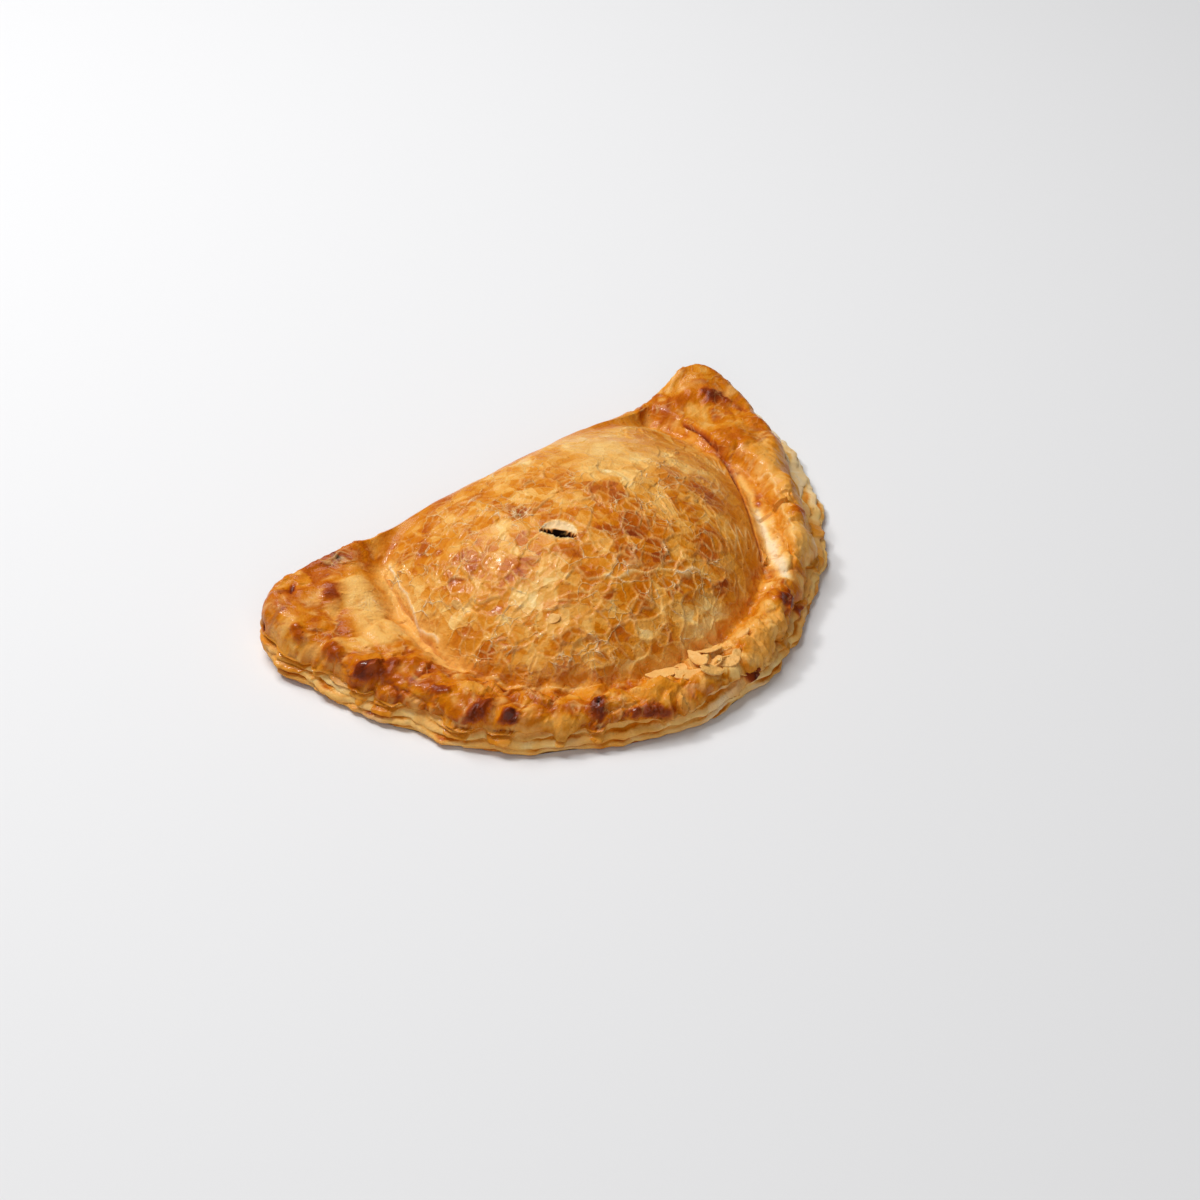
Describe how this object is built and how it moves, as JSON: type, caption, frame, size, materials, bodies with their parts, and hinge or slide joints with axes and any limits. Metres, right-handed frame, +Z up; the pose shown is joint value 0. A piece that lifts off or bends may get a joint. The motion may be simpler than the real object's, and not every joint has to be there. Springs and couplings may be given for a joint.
{
  "type": "cornish pasty",
  "caption": "Baked D-shaped pastry parcel with a domed middle, a steam vent and a thick crimped rim along the curved side; lies flat on its underside.",
  "frame": {"origin": "middle of the box of the pasty, on the plane of its flat underside", "axes": "+X along the straight fold from tip to tip, -Y towards the crimped rim, +Z up"},
  "size_m": [0.19, 0.115, 0.0335],
  "materials": {
    "crust": "baked shortcrust, egg-glazed"
  },
  "bodies": {
    "root": {"pasty": "crust"}
  },
  "joints": []
}
